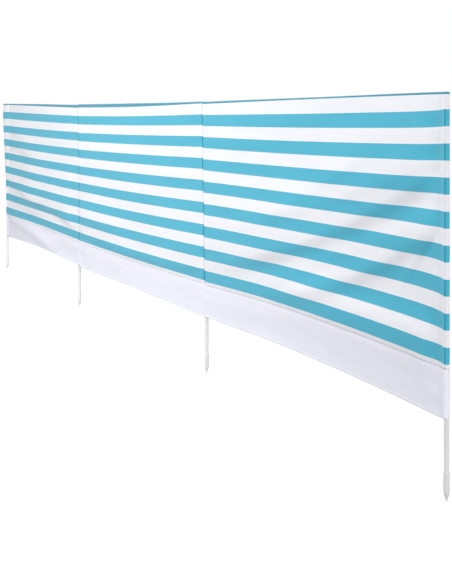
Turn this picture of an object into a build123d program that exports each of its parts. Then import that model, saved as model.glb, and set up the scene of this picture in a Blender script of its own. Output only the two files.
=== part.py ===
from build123d import *
import os
from math import exp, pi, sin

# Beach windbreak: a striped cloth with a plain skirt, stretched in three bays between four
# round poles. Each pole stands in a sleeve sewn into the cloth and ends in a moulded spike
# that is pushed into the sand.
#
# Frame, in millimetres: the origin is the middle of the blunt end of the first pole's spike.
# +X runs along the windbreak, +Y goes to the back, where the sleeves show, and +Z is up.

# Poles
pole_height = 1195
tube_radius = 8
tube_wall = 1
end_bay = 1565
middle_bay = 1670
middle_pole_set_back = 9

# Spikes
spike_height = 87
cone_height = 25
shoulder_height = 4
shoulder_lip = 0.4
tip_radius = 2
socket_wall = 1.5
socket_clearance = 0.1
socket_depth = 55

# Cloth, as it lies flat
cloth_thickness = 1
top_band_height = 10
stripe_height = 50
stripe_count = 16
joining_strip_height = 15
skirt_height = 145
top_hem_depth = 20
bottom_hem_depth = 12

# Cloth, as it hangs on the poles
top_slack = 15
top_sag = 12
bottom_rise = 8
sleeve_clearance = 0.3
seam_margin = 2.7
seat_gap = 0.2

# Folds of each bay: the heights of a fold's crest above the cloth's bottom edge, on the left
# pole and on the right one, how sharply the crest bends, how far it stands forward, and how
# far the cloth falls away above it and below it
bay_folds = [
    [(392, 285, 3.0, 11, 200, 130)],
    [(222, 203, 1.0, 7, 150, 130)],
    [(245, 775, 1.35, 14, 210, 130), (150, 700, 2.05, 7, 110, 130)],
]
fold_length = 110
fold_height = 55

# Sizes that follow from the ones above
striped_height = top_band_height + stripe_height * stripe_count + joining_strip_height
cloth_height = striped_height + skirt_height
ground_gap = pole_height + top_slack - cloth_height
pole_places = [0, end_bay, end_bay + middle_bay, 2 * end_bay + middle_bay]
pole_depths = [0, middle_pole_set_back, middle_pole_set_back, 0]
pole_pull = [0, 1, 1, 0]
spike_radius = tube_radius + socket_clearance + socket_wall
socket_radius = tube_radius + socket_clearance
socket_floor = spike_height - socket_depth
sleeve_inner_radius = tube_radius + sleeve_clearance
sleeve_radius = sleeve_inner_radius + cloth_thickness
seam_reach = sleeve_radius + seam_margin
middle_seam_y = middle_pole_set_back - (seam_reach + seat_gap + cloth_thickness)
end_seam_y = -cloth_thickness / 2
seam_depths = [end_seam_y, middle_seam_y, middle_seam_y, end_seam_y]


def cloth_level(pole, height):
    """Level, at a pole, of the cloth's line that lies at a height above its bottom edge."""
    pulled_in = pole_pull[pole]
    share = height / cloth_height
    return ground_gap + height + pulled_in * (bottom_rise - (bottom_rise + top_sag) * share)


def cloth_front(bay, across, height):
    """Y of the cloth's front face: a straight line from seam to seam, plus the bay's folds."""
    forward = 0
    for left, right, bend, depth, above, below in bay_folds[bay]:
        crest = left + (right - left) * across**bend
        spread = above if height > crest else below
        forward += depth * sin(pi * across) * exp(-(((height - crest) / spread) ** 2))
    return seam_depths[bay] + (seam_depths[bay + 1] - seam_depths[bay]) * across - forward


def evenly(start, end, pitch, fewest):
    """Evenly spaced values from start to end, about `pitch` apart and at least `fewest`."""
    count = max(fewest - 1, round((end - start) / pitch))
    return [start + (end - start) * i / count for i in range(count + 1)]


def cloth_section(bay, left, right, height, set_back):
    """Thin profile of a bay's cloth at one height, on a plane that tilts with its edges."""
    left_pole = pole_places[bay]
    width = pole_places[bay + 1] - left_pole
    start = Vector(left_pole, 0, cloth_level(bay, height))
    along = Vector(width, 0, cloth_level(bay + 1, height) - start.Z)
    shares = evenly((left - left_pole) / width, (right - left_pole) / width, fold_length / width, 4)
    front = [(along.length * s, cloth_front(bay, s, height) + set_back) for s in shares]
    back = [(x, y + cloth_thickness) for x, y in front]
    with BuildSketch(Plane(start, x_dir=along, z_dir=along.cross(Vector(0, 1, 0)))) as section:
        with BuildLine():
            add(Edge.make_spline(front, parameters=shares))
            add(Edge.make_spline(back, parameters=shares))
            Line(front[0], back[0])
            Line(front[-1], back[-1])
        make_face()
    return section.sketch


def write_piece(piece, name):
    """Label a finished piece and write its file."""
    piece.part.label = name
    export_step(piece.part, f"parts/{name}.step")


os.makedirs("parts", exist_ok=True)

# Pole tubes: plain round tube, seated on the floor of the spike's socket
for number, (pole_x, pole_y) in enumerate(zip(pole_places, pole_depths), 1):
    with BuildPart() as pole_tube:
        with BuildSketch(Plane.XY.offset(socket_floor)):
            with Locations((pole_x, pole_y)):
                Circle(tube_radius)
                Circle(tube_radius - tube_wall, mode=Mode.SUBTRACT)
        extrude(amount=pole_height - socket_floor)
    write_piece(pole_tube, f"pole_tube_{number}")

# Ground spikes: a turned form with a blunt cone, a straight barrel with the socket in it and a
# shoulder that tapers in to the tube
for number, (pole_x, pole_y) in enumerate(zip(pole_places, pole_depths), 1):
    with BuildPart() as ground_spike:
        with BuildSketch(Plane.XZ.offset(-pole_y).shift_origin((pole_x, pole_y, 0))):
            with BuildLine():
                Polyline(
                    (0, 0),
                    (tip_radius, 0),
                    (spike_radius, cone_height),
                    (spike_radius, spike_height - shoulder_height),
                    (socket_radius + shoulder_lip, spike_height),
                    (socket_radius, spike_height),
                    (socket_radius, socket_floor),
                    (0, socket_floor),
                    (0, 0),
                )
            make_face()
        revolve(axis=Axis((pole_x, pole_y, 0), (0, 0, 1)))
    write_piece(ground_spike, f"ground_spike_{number}")

# Sleeves: the cloth goes round the pole as a drop-shaped pocket, drawn together at the seam.
# The end sleeves point along the run and the middle ones forward. The striped cloth's sleeve
# is sewn shut at its top, and the skirt's runs on below it.
seam_directions = [(1, 0, 0), (0, -1, 0), (0, -1, 0), (-1, 0, 0)]
for pole, seam_direction in enumerate(seam_directions):
    bottom = cloth_level(pole, 0)
    join = cloth_level(pole, skirt_height)
    top = cloth_level(pole, cloth_height)
    for name, low, high, closed in [
        ("pole_sleeve", join, top, cloth_thickness),
        ("skirt_sleeve", bottom, join, 0),
    ]:
        axis_foot = (pole_places[pole], pole_depths[pole], low)
        foot = Plane(axis_foot, x_dir=seam_direction, z_dir=(0, 0, 1))
        with BuildPart() as sleeve:
            with BuildSketch(foot) as outside:
                with BuildLine():
                    CenterArc((0, 0), sleeve_radius, 0, 360)
                    Line((seam_reach, -cloth_thickness), (seam_reach, cloth_thickness))
                make_hull()
            extrude(amount=high - low)
            with BuildSketch(foot) as pocket:
                Circle(sleeve_inner_radius)
            extrude(amount=high - low - closed, mode=Mode.SUBTRACT)
        write_piece(sleeve, f"{name}_{pole + 1}")

# Cloth of each bay: the striped panel, the skirt below it, and the hems folded to their backs
behind = cloth_thickness + seat_gap
for bay in range(len(pole_places) - 1):
    at_left_end = bay == 0
    at_right_end = bay == len(pole_places) - 2
    left_pole = pole_places[bay]
    right_pole = pole_places[bay + 1]
    seam_left = left_pole + (seam_reach if at_left_end else 0)
    seam_right = right_pole - (seam_reach if at_right_end else 0)
    hem_left = seam_left if at_left_end else left_pole + sleeve_radius + seat_gap
    hem_right = seam_right if at_right_end else right_pole - sleeve_radius - seat_gap
    for name, left, right, low, high, set_back in [
        ("striped_panel", seam_left, seam_right, skirt_height, cloth_height, 0),
        ("skirt_panel", seam_left, seam_right, 0, skirt_height, 0),
        ("top_hem", hem_left, hem_right, cloth_height - top_hem_depth, cloth_height, behind),
        ("bottom_hem", hem_left, hem_right, 0, bottom_hem_depth, behind),
    ]:
        heights = evenly(low, high, fold_height, 2)
        sections = [cloth_section(bay, left, right, height, set_back) for height in heights]
        with BuildPart() as cloth:
            loft(sections)
        write_piece(cloth, f"{name}_{bay + 1}")
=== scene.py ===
from collections import namedtuple
from math import acos, atan2, cos, hypot, pi, radians, sin

import bpy
import numpy as np
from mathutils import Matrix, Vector

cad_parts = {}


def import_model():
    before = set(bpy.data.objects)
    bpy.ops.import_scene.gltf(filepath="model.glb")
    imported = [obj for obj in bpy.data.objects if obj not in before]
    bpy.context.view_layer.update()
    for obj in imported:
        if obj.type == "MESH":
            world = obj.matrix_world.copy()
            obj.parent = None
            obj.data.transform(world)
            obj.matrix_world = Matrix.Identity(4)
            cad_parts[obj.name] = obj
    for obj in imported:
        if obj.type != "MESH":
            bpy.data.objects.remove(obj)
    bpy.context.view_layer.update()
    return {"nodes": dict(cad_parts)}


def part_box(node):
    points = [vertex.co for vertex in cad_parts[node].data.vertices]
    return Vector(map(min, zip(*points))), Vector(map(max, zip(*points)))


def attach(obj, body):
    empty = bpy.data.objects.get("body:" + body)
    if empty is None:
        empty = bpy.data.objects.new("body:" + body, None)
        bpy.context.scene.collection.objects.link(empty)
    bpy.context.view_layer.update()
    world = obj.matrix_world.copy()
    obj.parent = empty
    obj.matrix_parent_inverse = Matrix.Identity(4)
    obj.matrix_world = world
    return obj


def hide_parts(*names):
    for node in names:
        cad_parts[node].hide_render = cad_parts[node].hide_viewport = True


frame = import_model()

# Beach windbreak: the looks of the striped cloth, its skirt, hems, sleeves and stitching, and
# the finish of the poles and spikes. Lengths are metres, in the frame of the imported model.

MM = 0.001

# Cloth as it lies flat, heights measured from its bottom edge
STRIPE = 50 * MM
STRIPED_FOOT = 145 * MM
PRINT_TOP = 960 * MM
CLOTH_HEIGHT = 970 * MM
BOTTOM_HEM = 12 * MM
TOP_HEM = 20 * MM
LAP = 12 * MM
CLOTH_THICKNESS = 0.4 * MM

# Sewing: the groove at the seam beside each pole, the doubled cloth next to it, darkened with
# painted crease shade, the striped cloth that laps over the skirt in front, the rolled lower
# edge, and the cloth folded over to the back with its slightly loose edge
GROOVE_DEPTHS = {1: 0.7 * MM, 2: 2.5 * MM, 3: 2.5 * MM, 4: 0.7 * MM}
GROOVE_WIDTH = 1.8 * MM
DOUBLED_AND_SHADED = 7 * MM
DOUBLED_AND_SHADED_FULL = 0.6 * DOUBLED_AND_SHADED
LAP_FORWARD = 0.45 * MM
LAP_END = 3 * MM
SKIRT_BACK = 0.5 * MM
ROLLED_EDGE = 1.0 * MM
ROLLED_EDGE_LEVEL = 2.5 * MM
ROLLED_EDGE_WIDTH = 2.2 * MM
FOLD_RADIUS = 0.8 * MM
LOOSE_HEM = 0.35 * MM
LOOSE_HEM_WAVE = 60 * MM

# Mesh pitch across a bay, up the striped cloth and up the skirt, eight rows to a stripe; closer
# columns beside a seam and closer rows at the rolled edge; and the rows of the top blue edge
COLUMN_PITCH = 8 * MM
ROW_PITCH = STRIPE / 8
SKIRT_ROW_PITCH = 6 * MM
CLOSE_COLUMNS = np.array([0, 0.8, 1.6, 2.6, 4.0, 6.0]) * MM
CLOSE_ROWS = np.array([0, 1, 2.2, 3.5, 5, 7]) * MM
EVEN_ROWS_FROM = 10 * MM
SECOND_ROW = 2 * MM
BLUE_EDGE_ROWS = (0.33, 0.66, 1.0)

# Poles, seams and the level of the cloth's bottom edge, from the frame. The cloth at the middle
# poles lies just in front of the solid sleeves, and the pockets leave the poles a little room
POCKET_ROOM = 0.9 * MM
SEAM_ROOM = 0.7 * MM
POLES = range(1, 5)
BAYS = range(1, 4)
tube_boxes = {n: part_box(f"pole_tube_{n}") for n in POLES}
POLE_X = {n: (low[0] + high[0]) / 2 for n, (low, high) in tube_boxes.items()}
POLE_Y = {n: (low[1] + high[1]) / 2 for n, (low, high) in tube_boxes.items()}
TUBE_RADIUS = (tube_boxes[1][1][0] - tube_boxes[1][0][0]) / 2
FIRST_POLE = 1
LAST_POLE = 4
GROUND_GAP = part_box("skirt_sleeve_1")[0][2]
SEAM_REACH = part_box("pole_sleeve_1")[1][0]
SLEEVE_RADIUS = TUBE_RADIUS + POCKET_ROOM
FIRST_SEAM_Y = -2.6 * MM
MIDDLE_SEAM_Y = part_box("pole_sleeve_2")[0][1] - SEAM_ROOM


def smooth_step(value, start, end):
    """Smooth rise from 0 at start to 1 at end."""
    share = np.clip((value - start) / (end - start), 0, 1)
    return share * share * (3 - 2 * share)


def through(heights, values, height):
    """Smooth curve through a few values, given at a few heights."""
    total = 0
    for i, own in enumerate(heights):
        share = 1
        for j, other in enumerate(heights):
            if i != j:
                share = share * (height - other) / (own - other)
        total = total + values[i] * share
    return total


def waviness(x, y, seed):
    """Smooth random waves about one unit long, from about -1 to 1, the same in each run."""
    random = np.random.default_rng(seed)
    total = 0
    for _ in range(10):
        angle = random.uniform(0, 2 * pi)
        pitch = random.uniform(0.6, 1.5)
        phase = random.uniform(0, 2 * pi)
        total = total + np.sin(2 * pi * pitch * (x * cos(angle) + y * sin(angle)) + phase)
    return total / 4


# How far the cloth's lines lie above or below level ones, in millimetres, at four heights of
# the cloth: at the left seam and the right seam of a bay, and the bow between them
LIFT_HEIGHTS = [0, 160 * MM, 535 * MM, 960 * MM]
LIFTS = {
    1: {"left": [3, 10, 13, 17], "right": [9, -3, -11, -17], "bow": [13, 6, -4, 0]},
    2: {"left": [1, -3, -12, -15], "right": [11, 10, 3, -11], "bow": [4, -5, -6, -6]},
    3: {"left": [11, 4, -4, -14], "right": [0, 10, 7, -3], "bow": [17, 18, 2, 1.5]},
}

# Stretch of the cloth up and down the last pole, in millimetres at the same heights, how much
# of its top edge turns over there, how far it is drawn forward to the pole, and how far all
# of that runs into the bay
END_LIFTS = [2, -7, -5, 6]
END_CURL = 7 * MM
END_FORWARD = 7 * MM
END_LENGTH = 55 * MM

# Width of blue that shows above the top white stripe, in millimetres, at even steps over a bay
BLUE_EDGE = {
    1: [8, 10, 13, 15, 18],
    2: [18, 19, 18, 13, 8],
    3: [8, 7, 5, 5, 6],
}

# Where the seam beside each pole lies along the run, in millimetres from its plain place, at
# the cloth's bottom edge and at its top: the pockets are wider than the poles, so it wanders
SEAM_SHIFTS = {1: (20, 30), 2: (45, 9), 3: (7, -22), 4: (-9, -9)}

# Tension folds of each bay: the height of the crest in millimetres at the left seam, in the
# middle and at the right seam, how far it stands forward, how far the cloth falls away above
# and below it, and the shares of the bay's width where it begins, is full, fades and ends
Fold = namedtuple("Fold", "left middle right forward above below begins full fades ends")
FOLDS = {
    1: [
        Fold(415, 300, 190, 10, 90, 34, 0.0, 0.02, 0.35, 0.55),
        Fold(291, 324, 228, 15.6, 200, 34, 0.15, 0.42, 0.86, 1.0),
        Fold(305, 232, 195, 4, 50, 28, 0.0, 0.1, 0.6, 0.9),
        Fold(155, 65, -40, 10, 60, 40, 0.0, 0.03, 0.5, 0.85),
        Fold(795, 700, 640, 5, 80, 30, 0.0, 0.03, 0.2, 0.6),
        Fold(705, 612, 560, 6, 80, 30, 0.0, 0.03, 0.3, 0.7),
        Fold(525, 490, 470, 4, 80, 30, 0.0, 0.05, 0.4, 0.7),
        Fold(225, 200, 190, 3, 40, 35, 0.0, 0.02, 0.2, 0.5),
    ],
    2: [
        Fold(225, 189, 220, 6, 150, 28, 0.0, 0.03, 0.97, 1.0),
        Fold(315, 300, 290, 6, 80, 36, 0.0, 0.03, 0.2, 0.5),
    ],
    3: [
        Fold(255, 418, 750, 20, 210, 54, 0.0, 0.35, 0.93, 1.0),
        Fold(246, 230, 585, 15, 70, 44, 0.3, 0.6, 0.95, 1.0),
        Fold(91, 315, 605, 6, 50, 36, 0.3, 0.5, 0.85, 0.97),
        Fold(300, 595, 935, 7, 110, 42, 0.2, 0.45, 0.7, 0.9),
        Fold(333, 548, 763, 5, 60, 34, 0.3, 0.5, 0.85, 0.97),
        Fold(-1337, -379, 580, 5, 60, 22, 0.86, 0.93, 0.97, 1.0),
        Fold(205, 205, 210, 16, 60, 130, 0.0, 0.7, 0.95, 1.0),
    ],
}

# How far the joining seam between the stripes and the skirt sinks back, in millimetres, at
# even steps over a bay, and how far that spreads up and down
SEAM_SINK = {1: [0.4, 0.6, 0.6], 2: [0.6, 0.5, 0.8], 3: [0.9, 1.7, 1.5]}
SEAM_SINK_SPREAD = 11 * MM

# Small unevenness: its height, and its length along the cloth and up it. Puckers fade out
# over a reach from the seam beside a pole, and from the joining seam and the edges
Wave = namedtuple("Wave", "height along up")
SOFT_WAVE = Wave(0.7, 550 * MM, 130 * MM)
FINE_WAVE = Wave(0.25, 120 * MM, 50 * MM)
POLE_PUCKER = Wave(1.0, 300 * MM, 45 * MM)
POLE_PUCKER_REACH = 50 * MM
EDGE_PUCKER = Wave(0.45, 35 * MM, 400 * MM)
EDGE_PUCKER_REACH = 30 * MM
FLAT_AT_SEAM = 10 * MM


def seam_y(pole):
    """Y of the cloth's middle at a pole's seam; the first pole's loose pocket lies forward."""
    return {FIRST_POLE: FIRST_SEAM_Y, LAST_POLE: 0.0}.get(pole, MIDDLE_SEAM_Y)


def seam_x(pole, height):
    """X of the seam beside a pole, at a height of the cloth."""
    reach = {FIRST_POLE: SEAM_REACH, LAST_POLE: -SEAM_REACH}.get(pole, 0)
    bottom, top = SEAM_SHIFTS[pole]
    return POLE_X[pole] + reach + MM * (bottom + (top - bottom) * height / CLOTH_HEIGHT)


def bay_width(bay):
    """Width of a bay's cloth, from seam to seam, halfway up."""
    return seam_x(bay + 1, CLOTH_HEIGHT / 2) - seam_x(bay, CLOTH_HEIGHT / 2)


def near_last_pole(x):
    """How near a point is to the last pole: 1 at the pole, fading into the bay."""
    return np.exp(np.minimum(x - POLE_X[LAST_POLE], 0) / END_LENGTH)


def seam_tip(pole, height):
    """X and Y of the groove between a pole's pocket and the cloth, as offsets from the pole."""
    x, y = seam_x(pole, height), seam_y(pole) + GROOVE_DEPTHS[pole]
    if pole == LAST_POLE:
        y = y - END_FORWARD * near_last_pole(x)
    return np.array([x - POLE_X[pole], y - POLE_Y[pole]])


def end_stretch(x, height):
    """How far the stretch of the cloth at the last pole lifts its lines, in metres."""
    curl = END_CURL * smooth_step(height, PRINT_TOP - STRIPE, CLOTH_HEIGHT)
    return (MM * through(LIFT_HEIGHTS, END_LIFTS, height) - curl) * near_last_pole(x)


def bay_x(bay, across, height):
    """X of a point of a bay's cloth."""
    start, end = seam_x(bay, height), seam_x(bay + 1, height)
    return start + (end - start) * across


def lift(bay, across, height):
    """How far a line of the cloth lies above its plain level, in metres."""
    left, right, bow = (
        through(LIFT_HEIGHTS, LIFTS[bay][key], height) for key in ("left", "right", "bow")
    )
    level = MM * (left + (right - left) * across + bow * np.sin(pi * across))
    if bay == LAST_POLE - 1:
        level = level + end_stretch(bay_x(bay, across, height), height)
    return level


def folds(bay, across, height):
    """How far the cloth's tension folds stand forward, in metres."""
    forward = 0
    for fold in FOLDS[bay]:
        crest = through([0, 0.5, 1], [fold.left, fold.middle, fold.right], across)
        offset = height / MM - crest
        spread = np.where(offset > 0, fold.above, fold.below)
        rising = smooth_step(across, fold.begins, fold.full)
        depth = fold.forward * rising * (1 - smooth_step(across, fold.fades, fold.ends))
        forward = forward + depth * np.exp(-((offset / spread) ** 2))
    return MM * forward


def seam_sink(bay, across, height):
    """How far the cloth sinks back along the joining seam, in metres."""
    depth = through([0, 0.5, 1], SEAM_SINK[bay], across)
    return MM * depth * np.exp(-(((height - STRIPED_FOOT) / SEAM_SINK_SPREAD) ** 2))


def wave(kind, along, up, seed):
    """Waves of one kind, in millimetres."""
    return kind.height * waviness(along / kind.along, up / kind.up, seed)


def small_wrinkles(bay, across, height, x):
    """Fine unevenness: puckers at the seams and hems and soft waves along the cloth."""
    from_left = across * bay_width(bay)
    from_right = (1 - across) * bay_width(bay)
    waves = wave(SOFT_WAVE, x, height, 10 + bay) + wave(FINE_WAVE, x, height, 20 + bay)
    for distance, seed in ((from_left, 30 + bay), (from_right, 40 + bay)):
        near = np.exp(-distance / POLE_PUCKER_REACH)
        waves = waves + near * wave(POLE_PUCKER, distance, height, seed)
    for seam, seed in ((STRIPED_FOOT, 50 + bay), (0, 60 + bay), (PRINT_TOP, 70 + bay)):
        near = np.exp(-np.abs(height - seam) / EDGE_PUCKER_REACH)
        waves = waves + near * wave(EDGE_PUCKER, x, height, seed)
    for distance in (from_left, from_right):
        waves = waves * smooth_step(distance, 0, FLAT_AT_SEAM)
    return MM * waves


def cloth_point(bay, across, height):
    """Place of a point of a bay's cloth: its share of the way across and its height."""
    x = bay_x(bay, across, height)
    y = seam_y(bay) + (seam_y(bay + 1) - seam_y(bay)) * across
    y = y - folds(bay, across, height) + seam_sink(bay, across, height)
    y = y - small_wrinkles(bay, across, height, x)
    if bay == LAST_POLE - 1:
        y = y - END_FORWARD * near_last_pole(x)
    for pole, share in ((bay, across), (bay + 1, 1 - across)):
        y = y + GROOVE_DEPTHS[pole] * np.exp(-((share * bay_width(bay) / GROOVE_WIDTH) ** 2))
    z = GROUND_GAP + height + lift(bay, across, height)
    return x, y, z


def doubled_and_shaded_cloth(distance):
    """How far the cloth is doubled and darkened with painted crease shade, from 0 to 1, at a distance
    from the seam beside a pole.
    """
    return 1 - smooth_step(distance, DOUBLED_AND_SHADED_FULL, DOUBLED_AND_SHADED)


def blue_edge(bay, across):
    """Width of the blue edge above the top white stripe."""
    steps = np.linspace(0, 1, len(BLUE_EDGE[bay]))
    return MM * through(steps, BLUE_EDGE[bay], across)


# Mesh and node helpers


def grid_object(name, x, y, z, u, v, material, closed=False, doubled_and_shaded=None):
    """Object from rows of points, with flat cloth measures in metres as its UV map."""
    rows, columns = x.shape
    vertices = np.stack([x, y, z], axis=-1).reshape(-1, 3)
    faces = []
    for row in range(rows - 1):
        for column in range(columns if closed else columns - 1):
            following = (column + 1) % columns
            a = row * columns + column
            b = row * columns + following
            faces.append((a, b, b + columns, a + columns))
    mesh = bpy.data.meshes.new(name)
    mesh.from_pydata(vertices.tolist(), [], faces)
    layer = mesh.uv_layers.new(name="flat_cloth")
    flat = np.stack([u, v], axis=-1).reshape(-1, 2)
    corners = np.array([loop.vertex_index for loop in mesh.loops])
    places = flat[corners]
    if closed:  # the measures of the last column's faces run on past the first column's
        quads = places.reshape(-1, 4, 2)
        wrapped = quads[:, 1, 0] < quads[:, 0, 0]
        span = u.max() - u.min() + (u[0, 1] - u[0, 0])
        quads[wrapped, 1, 0] += span
        quads[wrapped, 2, 0] += span
    layer.data.foreach_set("uv", places.ravel())
    # Share of doubled cloth and painted crease shade, read by the striped material
    if doubled_and_shaded is not None:
        mesh.attributes.new("doubled_and_shaded", "FLOAT", "POINT").data.foreach_set("value", doubled_and_shaded.ravel())
    mesh.polygons.foreach_set("use_smooth", [True] * len(faces))
    mesh.materials.append(material)
    obj = bpy.data.objects.new(name, mesh)
    bpy.context.scene.collection.objects.link(obj)
    return obj


def give_thickness(obj, thickness):
    """Turn an open surface into cloth of a real thickness."""
    solid = obj.modifiers.new("thickness", "SOLIDIFY")
    solid.thickness = thickness
    solid.offset = 0


class Nodes:
    """Short way to write the node tree of a new material or of the world."""

    def __init__(self, owner):
        self.owner = owner
        owner.use_nodes = True
        self.tree = owner.node_tree
        self.tree.nodes.clear()

    def add(self, kind, inputs=None, **settings):
        node = self.tree.nodes.new(kind)
        for key, value in settings.items():
            setattr(node, key, value)
        for key, value in (inputs or {}).items():
            if isinstance(value, bpy.types.NodeSocket):
                self.tree.links.new(value, node.inputs[key])
            else:
                node.inputs[key].default_value = value
        return node

    def math(self, operation, first, second=0.0, third=0.0):
        inputs = {0: first, 1: second, 2: third}
        return self.add("ShaderNodeMath", inputs, operation=operation).outputs[0]

    def ramp(self, value, low, high, to_low=0.0, to_high=1.0):
        inputs = {0: value, 1: low, 2: high, 3: to_low, 4: to_high}
        return self.add("ShaderNodeMapRange", inputs).outputs[0]

    def mix(self, share, first, second, **settings):
        inputs = {0: share, 6: first, 7: second}
        return self.add("ShaderNodeMix", inputs, data_type="RGBA", **settings).outputs[2]

    def noise(self, vector, scale, detail=2.0):
        inputs = {"Vector": vector, "Scale": scale, "Detail": detail}
        return self.add("ShaderNodeTexNoise", inputs).outputs[0]

    def seen_directly(self):
        """1 for rays that show a surface to the camera, also in gloss or through glass."""
        rays = self.add("ShaderNodeLightPath").outputs
        seen = self.math("MAXIMUM", rays["Is Camera Ray"], rays["Is Glossy Ray"])
        return self.math("MAXIMUM", seen, rays["Is Transmission Ray"])

    def finish(self, shader, output="ShaderNodeOutputMaterial"):
        self.add(output, {"Surface": shader})
        return self.owner


def new_nodes(name):
    """Empty node tree of a new material."""
    return Nodes(bpy.data.materials.new(name))


def rgb(red, green, blue):
    """Linear colour from the usual 0 to 255 values."""
    def linear(value):
        share = value / 255
        return share / 12.92 if share <= 0.04045 else ((share + 0.055) / 1.055) ** 2.4
    return (linear(red), linear(green), linear(blue), 1.0)


SKY_BLUE = rgb(75, 176, 202)
# Blue of the doubled cloth at the seams, with painted crease shade
DOUBLED_AND_SHADED_BLUE = rgb(30, 140, 168)
# Blue of the top edge where the cloth folds over, with painted shade
DOUBLED_AND_SHADED_EDGE_BLUE = rgb(72, 142, 164)
WHITE_PRINT = rgb(235, 236, 241)
# White of the doubled cloth at the seams, with painted crease shade
DOUBLED_AND_SHADED_WHITE = rgb(221, 221, 226)
SKIRT_WHITE = rgb(236, 235, 247)
THREAD_WHITE = rgb(236, 236, 240)
THREAD_SHADE = rgb(226, 226, 232)
COAT_WHITE = rgb(221, 221, 222)
COAT_RUBBED = rgb(212, 212, 214)
PLASTIC_WHITE = rgb(214, 214, 214)
# Grey of scuffs and painted shade near the spike's point
PLASTIC_WORN_AND_SHADED = rgb(192, 191, 188)
THREAD_PITCH = 0.9 * MM
PRINT_RAGGEDNESS = 0.5 * MM
EDGE_BLEND = 2 * MM


def weave(nodes, u, v):
    """Height of a plain weave, from 0 to 1: threads over and under each other."""
    turns = 2 * pi / THREAD_PITCH
    along = nodes.math("SINE", nodes.math("MULTIPLY", u, turns))
    up = nodes.math("SINE", nodes.math("MULTIPLY", v, turns))
    return nodes.math("MULTIPLY_ADD", nodes.math("MULTIPLY", along, up), 0.5, 0.5)


def streaks(nodes, u, v, along, up, detail):
    """Noise drawn out into streaks, with its fineness along the cloth and up it."""
    place = nodes.add("ShaderNodeCombineXYZ", {
        0: nodes.math("MULTIPLY", u, along), 1: nodes.math("MULTIPLY", v, up)}).outputs[0]
    return nodes.noise(place, 1.0, detail)


def printed_stripes_and_shade(nodes, v, slubs):
    """Blue and white stripes, deeper where the cloth is doubled at the seams, with painted crease
    shade there and painted shade along the folded upper edge.
    """
    ragged = nodes.math("MULTIPLY_ADD", slubs, PRINT_RAGGEDNESS, -PRINT_RAGGEDNESS / 2)
    below_top = nodes.math("SUBTRACT", PRINT_TOP, nodes.math("ADD", v, ragged))
    turning = nodes.math("SINE", nodes.math("MULTIPLY", below_top, pi / STRIPE))
    # Share of doubled cloth and painted crease shade at the seams
    doubled_and_shaded = nodes.add("ShaderNodeAttribute", attribute_name="doubled_and_shaded").outputs["Fac"]
    blue = nodes.mix(doubled_and_shaded, SKY_BLUE, DOUBLED_AND_SHADED_BLUE)
    # Painted shade along the upper edge, where the cloth folds over to the back
    blue = nodes.mix(nodes.ramp(below_top, -EDGE_BLEND, 0.0, 1.0, 0.0), blue, DOUBLED_AND_SHADED_EDGE_BLUE)
    white = nodes.mix(doubled_and_shaded, WHITE_PRINT, DOUBLED_AND_SHADED_WHITE)
    return nodes.mix(nodes.ramp(turning, -0.02, 0.02), blue, white)


def cloth_material(name, plain_colour=None):
    """Woven polyester, striped if no colour is given, from the flat measures in the UV map."""
    nodes = new_nodes(name)
    flat = nodes.add("ShaderNodeUVMap", uv_map="flat_cloth").outputs[0]
    split = nodes.add("ShaderNodeSeparateXYZ", {0: flat})
    u, v = split.outputs[0], split.outputs[1]

    slubs = streaks(nodes, u, v, 6.0, 420.0, 3.0)
    warp_slubs = streaks(nodes, u, v, 420.0, 8.0, 2.0)
    patches = nodes.noise(flat, 3.0, 3.0)

    colour = plain_colour or printed_stripes_and_shade(nodes, v, slubs)
    tone = nodes.math("ADD", nodes.ramp(slubs, 0.25, 0.75, -0.035, 0.035),
                      nodes.ramp(warp_slubs, 0.25, 0.75, -0.015, 0.015))
    tone = nodes.math("ADD", tone, nodes.ramp(patches, 0.3, 0.7, 0.975, 1.01))
    shade = nodes.add("ShaderNodeCombineXYZ", {0: tone, 1: tone, 2: tone}).outputs[0]
    toned = nodes.mix(1.0, colour, shade, blend_type="MULTIPLY")

    thread = nodes.add("ShaderNodeBump", {
        "Height": weave(nodes, u, v), "Strength": 0.35, "Distance": 0.12 * MM})
    uneven = nodes.add("ShaderNodeBump", {
        "Height": slubs, "Strength": 0.3, "Distance": 0.15 * MM, "Normal": thread.outputs[0]})
    rough = nodes.ramp(slubs, 0.2, 0.8, 0.68, 0.82)
    shader = nodes.add("ShaderNodeBsdfPrincipled", {
        "Base Color": toned,
        "Roughness": rough,
        "Normal": uneven.outputs[0],
        "Specular IOR Level": 0.25,
        "Sheen Weight": 0.2,
        "Sheen Roughness": 0.5,
    })
    return nodes.finish(shader.outputs[0])


def thread_material():
    """Twisted white sewing thread."""
    nodes = new_nodes("sewing_thread")
    place = nodes.add("ShaderNodeTexCoord").outputs["Object"]
    twist = nodes.add("ShaderNodeTexWave", {"Vector": place, "Scale": 900.0, "Distortion": 1.0},
                      bands_direction="DIAGONAL")
    bump = nodes.add("ShaderNodeBump", {
        "Height": twist.outputs["Fac"], "Strength": 0.4, "Distance": 0.08 * MM})
    patches = nodes.ramp(nodes.noise(place, 60.0), 0.3, 0.7)
    colour = nodes.mix(patches, THREAD_SHADE, THREAD_WHITE)
    shader = nodes.add("ShaderNodeBsdfPrincipled", {
        "Base Color": colour, "Roughness": 0.6, "Normal": bump.outputs[0]})
    return nodes.finish(shader.outputs[0])


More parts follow.
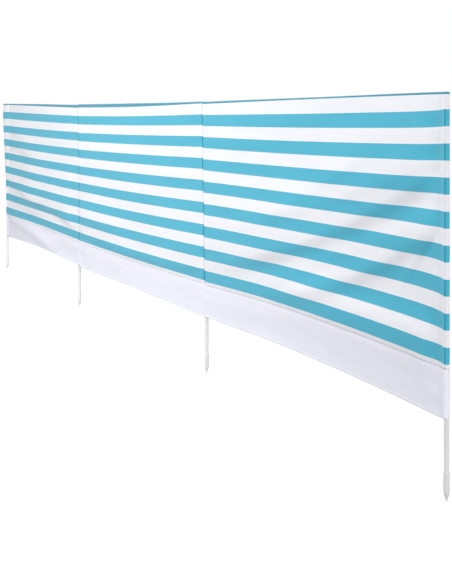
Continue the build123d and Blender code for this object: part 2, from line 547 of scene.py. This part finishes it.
def pole_material():
    """White powder coat: a faint orange-peel surface with slight rub marks."""
    nodes = new_nodes("white_powder_coat")
    place = nodes.add("ShaderNodeTexCoord").outputs["Object"]
    peel = nodes.noise(place, 700.0, 2.0)
    stretched = nodes.add("ShaderNodeMapping", {"Vector": place, "Scale": (60, 60, 4)}).outputs[0]
    rubs = nodes.noise(stretched, 1.0, 4.0)
    colour = nodes.mix(nodes.ramp(rubs, 0.35, 0.7), COAT_WHITE, COAT_RUBBED)
    bump = nodes.add("ShaderNodeBump", {"Height": peel, "Strength": 0.15, "Distance": 0.05 * MM})
    shader = nodes.add("ShaderNodeBsdfPrincipled", {
        "Base Color": colour,
        "Roughness": nodes.ramp(rubs, 0.3, 0.7, 0.3, 0.42),
        "Normal": bump.outputs[0],
        "Specular IOR Level": 0.5,
    })
    return nodes.finish(shader.outputs[0])


def spike_material():
    """White moulded plastic, with scuffs and painted shade that darken it towards its point."""
    nodes = new_nodes("white_moulded_plastic")
    place = nodes.add("ShaderNodeTexCoord").outputs["Object"]
    grain = nodes.noise(place, 900.0, 3.0)
    height = nodes.add("ShaderNodeSeparateXYZ", {0: place}).outputs[2]
    scuffs = nodes.noise(place, 130.0, 5.0)
    # Scuffs with painted shade, only near the point
    low = nodes.ramp(height, 0.0, 0.05, 1.0, 0.0)
    worn_and_shaded = nodes.math("MULTIPLY", nodes.ramp(scuffs, 0.5, 0.68), low)
    colour = nodes.mix(worn_and_shaded, PLASTIC_WHITE, PLASTIC_WORN_AND_SHADED)
    bump = nodes.add("ShaderNodeBump", {"Height": grain, "Strength": 0.2, "Distance": 0.05 * MM})
    shader = nodes.add("ShaderNodeBsdfPrincipled", {
        "Base Color": colour,
        "Roughness": nodes.ramp(scuffs, 0.3, 0.7, 0.42, 0.55),
        "Normal": bump.outputs[0],
    })
    return nodes.finish(shader.outputs[0])


STRIPED = cloth_material("striped_polyester")
PLAIN = cloth_material("plain_polyester", SKIRT_WHITE)
THREAD = thread_material()


def ride(obj, slot, *replaced):
    """Fix a piece to the frame and hide the solids that it stands for."""
    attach(obj, "root")
    if replaced:
        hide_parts(*replaced)


# Cloth of the bays


def across_steps(bay):
    """Shares of the way across a bay: even columns, with close ones at the seams."""
    width = bay_width(bay)
    even_width = width - 2 * COLUMN_PITCH
    count = round(even_width / COLUMN_PITCH) + 1
    even = np.linspace(COLUMN_PITCH, width - COLUMN_PITCH, count)
    return np.concatenate([CLOSE_COLUMNS, even, width - CLOSE_COLUMNS[::-1]]) / width


def flat_u(bay, across):
    """Flat measure along the cloth."""
    return POLE_X[bay] + bay_width(bay) * across


def striped_cloth(bay):
    """Striped cloth of a bay, from its lapped lower edge to the fold at its top."""
    across = across_steps(bay)
    even = np.arange(STRIPED_FOOT, PRINT_TOP + ROW_PITCH / 2, ROW_PITCH)
    rows = np.concatenate([[STRIPED_FOOT, STRIPED_FOOT + SECOND_ROW], even[1:]])
    share, height = np.meshgrid(across, rows)
    edge_rows = np.stack([PRINT_TOP + blue_edge(bay, across) * part for part in BLUE_EDGE_ROWS])
    height = np.concatenate([height, edge_rows])
    share = np.concatenate([share, np.repeat(across[None, :], len(edge_rows), axis=0)])
    x, y, z = cloth_point(bay, share, height)
    lapped = 1 - smooth_step(height, STRIPED_FOOT + LAP, STRIPED_FOOT + LAP + LAP_END)
    y = y - LAP_FORWARD * lapped
    from_left = np.inf if bay == FIRST_POLE else share * bay_width(bay)
    from_right = np.inf if bay == LAST_POLE - 1 else (1 - share) * bay_width(bay)
    # Doubled cloth with painted crease shade beside the middle poles' seams
    doubled_and_shaded = doubled_and_shaded_cloth(np.minimum(from_left, from_right))
    obj = grid_object(f"striped_cloth_{bay}", x, y, z, flat_u(bay, share), height, STRIPED,
                      doubled_and_shaded=doubled_and_shaded)
    give_thickness(obj, CLOTH_THICKNESS)
    ride(obj, "striped_cloth", f"striped_panel_{bay}")
    return obj


def skirt_cloth(bay):
    """Plain skirt of a bay; its top edge runs up behind the striped cloth."""
    even = np.arange(EVEN_ROWS_FROM, STRIPED_FOOT + LAP, SKIRT_ROW_PITCH)
    share, height = np.meshgrid(across_steps(bay), np.concatenate([CLOSE_ROWS, even]))
    x, y, z = cloth_point(bay, share, height)
    off_edge = (height - ROLLED_EDGE_LEVEL) / ROLLED_EDGE_WIDTH
    y = y + SKIRT_BACK - ROLLED_EDGE * np.exp(-(off_edge ** 2))
    obj = grid_object(f"skirt_cloth_{bay}", x, y, z, flat_u(bay, share), height, PLAIN)
    give_thickness(obj, CLOTH_THICKNESS)
    ride(obj, "skirt_cloth", f"skirt_panel_{bay}")
    return obj


def hem_fold(bay, top):
    """Cloth folded over the top or bottom edge to the back of a bay."""
    depth, inward, set_back = (TOP_HEM, -1, 0) if top else (BOTTOM_HEM, 1, SKIRT_BACK)
    turns = np.linspace(0, pi, 7)
    flap = np.linspace(0, depth, 5)[1:]
    no_turn, no_flap = np.zeros_like(flap), np.zeros_like(turns)
    down_flap = np.concatenate([no_flap, flap])[:, None]
    behind = np.concatenate([FOLD_RADIUS * (1 - np.cos(turns)), no_turn + 2 * FOLD_RADIUS])[:, None]
    beyond = np.concatenate([FOLD_RADIUS * np.sin(turns), no_turn])[:, None]
    length = np.concatenate([FOLD_RADIUS * turns, pi * FOLD_RADIUS + flap])[:, None]

    across = across_steps(bay)[2:-2]
    share = np.repeat(across[None, :], len(length), axis=0)
    edge = PRINT_TOP + blue_edge(bay, share) if top else np.zeros_like(share)
    x, y, z = cloth_point(bay, share, edge + inward * down_flap)
    loose = 1 + waviness(x / LOOSE_HEM_WAVE, 0 * x, 80 + bay)
    y = y + behind + set_back + LOOSE_HEM * (down_flap / depth) * loose
    z = z - inward * beyond
    v = edge - inward * length
    name = f"top_hem_fold_{bay}" if top else f"bottom_hem_fold_{bay}"
    obj = grid_object(name, x, y, z, flat_u(bay, share), v, STRIPED if top else PLAIN)
    give_thickness(obj, CLOTH_THICKNESS)
    if top:
        ride(obj, "hem_cloth", f"top_hem_{bay}")
    else:
        ride(obj, "skirt_cloth", f"bottom_hem_{bay}")
    return obj


# Sleeves round the poles


# Points of a pocket in plan: round the pole, along each side to the seam, and the gap between
# the sides there. The last pole's pocket is a little wider, and the skirt's pockets slimmer
ARC_POINTS = 56
SIDE_SHARES = np.linspace(0, 1, 6)[:-1]
TIP_HALF_GAP = 0.6 * MM
LAST_POCKET_ROOM = 0.3 * MM
SKIRT_POCKET_SIZE = 0.985

# The skirt's pockets: the first row above the lower edge, and how far they go up inside
SKIRT_POCKET_FIRST_ROW = 3 * MM
SKIRT_POCKET_LAP = 8 * MM

# Rings that draw a striped pocket shut over its pole: their width beside the pocket's, and how
# many millimetres they rise
TOP_RINGS = np.array([(0.97, 0.5), (0.88, 0.9), (0.7, 1.2), (0.45, 1.4), (0.2, 1.5), (0.04, 1.5)])

# Small creases of the pockets: their share of the pocket's radius, their length up and round
# it, and the part of the way round over which they fade out towards the seam
POCKET_CREASES = 0.035
POCKET_CREASE_UP = 30 * MM
POCKET_CREASE_ROUND = 50 * MM
POCKET_CREASE_FADE = 0.2

# Loose cloth that stands out past the first pole, at the top of its pocket
SLACK_REACH = 86 * MM
SLACK_FOOT = 100 * MM
SLACK_DIRECTION = np.array([-1.0, -0.08])

# Sewn crease down the front of the last pole's pocket: its place round the pole, its form, and
# how far the doubled cloth, darkened with painted crease shade, goes on either side
CREASE_ANGLE = radians(-70)
CREASE_DEPTH = 0.8 * MM
CREASE_WIDTH = 2.0 * MM
CREASE_SHADE = 0.7 * CREASE_WIDTH
CREASE_SHADE_END = 1.7 * CREASE_WIDTH


def crease_distance(x, y):
    """Way round the last pole's pocket from its sewn crease, for offsets from the pole."""
    return SLEEVE_RADIUS * (np.arctan2(y, x) - CREASE_ANGLE)


def pocket_loop(pole, height):
    """Drop-shaped loop in plan round a pole, its tip at the seam, as offsets from the pole."""
    tip = seam_tip(pole, height)
    reach = hypot(*tip)
    facing = atan2(tip[1], tip[0])
    leaving = acos(SLEEVE_RADIUS / reach)
    angles = facing + np.linspace(leaving, 2 * pi - leaving, ARC_POINTS)
    outward = np.stack([np.cos(angles), np.sin(angles)], axis=-1)
    arc = SLEEVE_RADIUS * outward
    if pole == LAST_POLE:
        off_crease = crease_distance(outward[:, 0], outward[:, 1])
        crease = CREASE_DEPTH * np.exp(-((off_crease / CREASE_WIDTH) ** 2))
        arc = (SLEEVE_RADIUS + LAST_POCKET_ROOM - crease)[:, None] * outward
    if pole == FIRST_POLE:
        slack = SLACK_REACH * smooth_step(height, SLACK_FOOT, CLOTH_HEIGHT)
        loose = slack * np.clip(-outward[:, 0], 0, 1) ** 2
        arc = arc + loose[:, None] * SLACK_DIRECTION
    aside = np.array([-tip[1], tip[0]]) / reach * TIP_HALF_GAP
    going = tip + aside + (arc[0] - tip - aside) * SIDE_SHARES[:, None]
    coming = tip - aside + (arc[-1] - tip + aside) * SIDE_SHARES[::-1, None]
    return np.concatenate([going, arc, coming])


def pole_lift(pole, height):
    """Lift of the cloth's lines at a pole, between those of the bays it joins."""
    lifts = []
    if pole > FIRST_POLE:
        lifts.append(lift(pole - 1, 1.0, height))
    if pole < LAST_POLE:
        lifts.append(lift(pole, 0.0, height))
    return sum(lifts) / len(lifts)


def pole_edge(pole):
    """Width of the blue edge at a pole."""
    return blue_edge(pole - 1, 1.0) if pole > FIRST_POLE else blue_edge(pole, 0.0)


def pocket_rows(pole, striped):
    """Heights of the rows of a pole's pocket."""
    if striped:
        even = np.arange(STRIPED_FOOT, PRINT_TOP, ROW_PITCH)
        return np.concatenate([even, [PRINT_TOP, PRINT_TOP + pole_edge(pole)]])
    top = STRIPED_FOOT + SKIRT_POCKET_LAP
    return np.concatenate([[0], np.arange(SKIRT_POCKET_FIRST_ROW, top, SKIRT_ROW_PITCH)])


def drawn_shut(heights, level, loops):
    """Rows of a striped pocket with the rings added that draw it shut over the pole's end."""
    width, rise = TOP_RINGS[:, 0], TOP_RINGS[:, 1] * MM
    heights = np.concatenate([heights, heights[-1] + (1 - width) * SLEEVE_RADIUS])
    level = np.concatenate([level, level[-1] + rise])
    loops = np.concatenate([loops, loops[-1] * width[:, None, None]])
    return heights, level, loops


def creased(loops, share, v, gone, seed):
    """Loops with small creases, which fade out towards the seam."""
    creases = waviness(v / POCKET_CREASE_UP, gone / POCKET_CREASE_ROUND, seed)
    off_seam = smooth_step(0.5 - np.abs(share - 0.5), 0, POCKET_CREASE_FADE)
    return loops * (1 + POCKET_CREASES * creases * off_seam)[:, :, None]


def sleeve(pole, striped):
    """Pocket of cloth round a pole; the striped one is drawn shut over the pole's end."""
    heights = pocket_rows(pole, striped)
    level = GROUND_GAP + heights + pole_lift(pole, heights)
    loops = np.stack([pocket_loop(pole, height) for height in heights])
    if not striped:
        loops = loops * SKIRT_POCKET_SIZE
    around = np.linalg.norm(np.roll(loops, -1, axis=1) - loops, axis=2).sum(axis=1)
    if striped:
        heights, level, loops = drawn_shut(heights, level, loops)
    # Doubled cloth with painted crease shade along the last pocket's sewn crease
    doubled_and_shaded = np.zeros(loops.shape[:2])
    if pole == LAST_POLE:
        off_crease = np.abs(crease_distance(loops[:, :, 0], loops[:, :, 1]))
        doubled_and_shaded = 1 - smooth_step(off_crease, CREASE_SHADE, CREASE_SHADE_END)
    share = np.linspace(0, 1, loops.shape[1], endpoint=False)
    gone, v = np.meshgrid(share * around.max(), heights)
    loops = creased(loops, share, v, gone, 90 + pole)
    x = POLE_X[pole] + loops[:, :, 0]
    y = POLE_Y[pole] + loops[:, :, 1]
    z = np.repeat(level[:, None], len(share), axis=1)
    if pole == LAST_POLE:
        z = z + end_stretch(x, v) - end_stretch(seam_x(pole, v), v)
    kind = "pole_sleeve" if striped else "skirt_sleeve"
    material = STRIPED if striped else PLAIN
    obj = grid_object(f"{kind}_cloth_{pole}", x, y, z, gone + POLE_X[pole], v, material,
                      closed=True, doubled_and_shaded=doubled_and_shaded)
    give_thickness(obj, CLOTH_THICKNESS)
    ride(obj, "striped_cloth" if striped else "skirt_cloth", f"{kind}_{pole}")
    return obj


# Stitching


# A stitch: the pitch of a row, the share of it left free at each end, half the stitch's width,
# how far its middle stands out and how far its ends are sunk in
STITCH = 4 * MM
STITCH_FREE = 0.12
STITCH_HALF_WIDTH = 0.3 * MM
STITCH_RAISED = 0.3 * MM
STITCH_SUNK = 0.1 * MM

# Rows of stitches: where they end before a seam, how far they are from the edges they follow,
# and how far behind the cloth they lie on a hem and on the skirt
ROW_END = 4 * MM
TOP_STITCHES = 4 * MM
BOTTOM_STITCHES = 3 * MM
JOINING_STITCHES = (3 * MM, 10 * MM)
SLEEVE_STITCHES = 6 * MM
BEHIND_HEM = 2.2 * MM
BEHIND_SKIRT = 0.1 * MM


def stitches(name, lines, slot):
    """Rows of raised stitches along lines of points, each with the direction it stands in."""
    vertices, faces = [], []
    for points, outward in lines:
        for start, end, out in zip(points[:-1], points[1:], outward):
            start, end, out = Vector(start), Vector(end), Vector(out)
            along = end - start
            first = start + along * STITCH_FREE
            last = end - along * STITCH_FREE
            middle = (first + last) / 2
            side = along.cross(out).normalized() * STITCH_HALF_WIDTH
            sunk = out * STITCH_SUNK
            base = len(vertices)
            vertices += [first - sunk, middle + side, middle + out * STITCH_RAISED,
                         middle - side, middle - sunk, last - sunk]
            for a, b in ((1, 2), (2, 3), (3, 4), (4, 1)):
                faces += [(base, base + a, base + b), (base + 5, base + b, base + a)]
    mesh = bpy.data.meshes.new(name)
    mesh.from_pydata([tuple(v) for v in vertices], [], faces)
    mesh.polygons.foreach_set("use_smooth", [True] * len(faces))
    mesh.materials.append(THREAD)
    obj = bpy.data.objects.new(name, mesh)
    bpy.context.scene.collection.objects.link(obj)
    ride(obj, slot)
    return obj


def stitch_shares(bay):
    """Shares of the way across a bay at which its stitches begin and end."""
    width = bay_width(bay)
    return np.linspace(ROW_END, width - ROW_END, round(width / STITCH)) / width


def stitch_rows(bay, height, in_front, behind):
    """Rows of stitches along a bay on its front and its back, each set off from the cloth."""
    x, y, z = cloth_point(bay, stitch_shares(bay), height)
    rows = []
    for facing, set_off in ((-1, in_front), (1, behind)):
        surface = y + facing * (CLOTH_THICKNESS / 2 + set_off)
        points = np.stack([x, surface, z], axis=-1).tolist()
        rows.append((points, [(0, facing, 0)] * len(points)))
    return rows


def hem_stitches(bay):
    """Stitching of a bay's top hem, joining seam and bottom hem."""
    top_height = PRINT_TOP + blue_edge(bay, stitch_shares(bay)) - TOP_HEM + TOP_STITCHES
    top_rows = stitch_rows(bay, top_height, 0, BEHIND_HEM)
    joining_rows = []
    for above in JOINING_STITCHES:
        height = STRIPED_FOOT + above
        joining_rows += stitch_rows(bay, height, LAP_FORWARD, SKIRT_BACK + BEHIND_SKIRT)
    bottom_height = BOTTOM_HEM - BOTTOM_STITCHES
    bottom_rows = stitch_rows(bay, bottom_height, -SKIRT_BACK, SKIRT_BACK + BEHIND_HEM)
    return (
        stitches(f"top_hem_stitches_{bay}", top_rows, "skirt_cloth"),
        stitches(f"joining_stitches_{bay}", joining_rows, "skirt_cloth"),
        stitches(f"bottom_hem_stitches_{bay}", bottom_rows, "skirt_cloth"),
    )


def sleeve_stitches(pole):
    """Row down the seam that closes an end pole's sleeve, on the front and on the back."""
    bay = 1 if pole == FIRST_POLE else 3
    into_bay = SLEEVE_STITCHES / bay_width(bay)
    heights = np.arange(ROW_END, CLOTH_HEIGHT - ROW_END, STITCH)
    x, y, z = cloth_point(bay, into_bay if pole == FIRST_POLE else 1 - into_bay, heights)
    y = y + SKIRT_BACK * (heights < STRIPED_FOOT)
    on_lap = (heights > STRIPED_FOOT) & (heights < STRIPED_FOOT + LAP + LAP_END)
    rows = []
    for facing in (-1, 1):
        surface = y + facing * CLOTH_THICKNESS / 2
        if facing < 0:
            surface = surface - LAP_FORWARD * on_lap
        points = np.stack([x, surface, z], axis=-1).tolist()
        rows.append((points, [(0, facing, 0)] * len(points)))
    return stitches(f"sleeve_stitches_{pole}", rows, "striped_cloth")


for bay in BAYS:
    striped = striped_cloth(bay)
    skirt = skirt_cloth(bay)
    top_fold = hem_fold(bay, True)
    bottom_fold = hem_fold(bay, False)
    top_rows, joining_rows, bottom_rows = hem_stitches(bay)

for pole in POLES:
    sleeve(pole, True)
    sleeve(pole, False)
for pole in (FIRST_POLE, LAST_POLE):
    sleeve_stitches(pole)

finishes = {"pole_tube": pole_material(), "ground_spike": spike_material()}
for kind, material in finishes.items():
    for pole in POLES:
        for slot in frame["nodes"][f"{kind}_{pole}"].material_slots:
            slot.material = material


# Floor, backdrop colour, light and camera


FLOOR_REACH = 60.0


def floor():
    """Pale floor, seen as white with the object's faint shadow; it throws little light back."""
    mesh = bpy.data.meshes.new("floor")
    corners = [(x * FLOOR_REACH, y * FLOOR_REACH, 0) for x, y in ((-1, -1), (1, -1), (1, 1), (-1, 1))]
    mesh.from_pydata(corners, [], [(0, 1, 2, 3)])
    obj = bpy.data.objects.new("floor", mesh)
    bpy.context.scene.collection.objects.link(obj)
    nodes = new_nodes("pale_floor")
    unseen = nodes.add("ShaderNodeBsdfDiffuse", {"Color": (0.4, 0.4, 0.4, 1)}).outputs[0]
    shadowed = nodes.add("ShaderNodeBsdfDiffuse", {"Color": (0.35, 0.35, 0.35, 1)}).outputs[0]
    glow = nodes.add("ShaderNodeEmission", {"Color": (1, 1, 1, 1), "Strength": 0.88}).outputs[0]
    seen = nodes.add("ShaderNodeAddShader", {0: shadowed, 1: glow}).outputs[0]
    inputs = {0: nodes.seen_directly(), 1: unseen, 2: seen}
    shader = nodes.add("ShaderNodeMixShader", inputs).outputs[0]
    mesh.materials.append(nodes.finish(shader))


def world():
    """White studio surroundings: white where they are seen, a soft fill elsewhere."""
    surroundings = bpy.data.worlds.new("studio")
    bpy.context.scene.world = surroundings
    nodes = Nodes(surroundings)
    fill = {"Color": (0.97, 0.98, 1.0, 1.0), "Strength": 0.15}
    unseen = nodes.add("ShaderNodeBackground", fill).outputs[0]
    seen = nodes.add("ShaderNodeBackground", {"Color": (1.0, 1.0, 1.0, 1.0)}).outputs[0]
    inputs = {0: nodes.seen_directly(), 1: unseen, 2: seen}
    shader = nodes.add("ShaderNodeMixShader", inputs).outputs[0]
    nodes.finish(shader, "ShaderNodeOutputWorld")


def soft_sun(name, towards, strength, softness):
    """Broad even light that shines along a direction."""
    lamp = bpy.data.lights.new(name, "SUN")
    lamp.energy = strength
    lamp.angle = radians(softness)
    obj = bpy.data.objects.new(name, lamp)
    obj.rotation_euler = Vector(towards).to_track_quat("-Z", "Y").to_euler()
    bpy.context.scene.collection.objects.link(obj)


def soft_box(name, place, aim, size, power):
    """Square soft box at a place, turned to the point that it lights."""
    lamp = bpy.data.lights.new(name, "AREA")
    lamp.energy = power
    lamp.size = size
    obj = bpy.data.objects.new(name, lamp)
    obj.location = place
    obj.rotation_euler = (Vector(aim) - Vector(place)).to_track_quat("-Z", "Y").to_euler()
    bpy.context.scene.collection.objects.link(obj)


# The photograph's camera: its height, focal length and horizon in pixels, and its place
PICTURE_HEIGHT = 584
FOCAL_PIXELS = 940.7
HORIZON_ROW = 116.7
CAMERA_PLACE = (6.9286, -1.8803, 1.1302)
CAMERA_TURN = radians(61.74)


def camera():
    """Camera at the photograph's place: upright, so the poles stay parallel."""
    lens = bpy.data.cameras.new("camera")
    lens.sensor_width = 36.0
    lens.lens = FOCAL_PIXELS / PICTURE_HEIGHT * lens.sensor_width
    lens.shift_y = -(PICTURE_HEIGHT / 2 - HORIZON_ROW) / PICTURE_HEIGHT
    obj = bpy.data.objects.new("camera", lens)
    obj.location = CAMERA_PLACE
    obj.rotation_euler = (radians(90), 0, CAMERA_TURN)
    bpy.context.scene.collection.objects.link(obj)
    bpy.context.scene.camera = obj


floor()
world()
soft_box("high_box", place=(2.7, -3.4, 4.5), aim=(2.5, 0, 0.7), size=1.6, power=270)
soft_sun("side_light", towards=(-0.95, 0.0, -0.2), strength=1.9, softness=30)
soft_sun("front_light", towards=(-0.8, 0.6, -0.15), strength=0.8, softness=30)
soft_sun("back_light", towards=(0.25, -0.95, -0.2), strength=1.2, softness=30)
camera()
bpy.context.scene.view_settings.view_transform = "Standard"
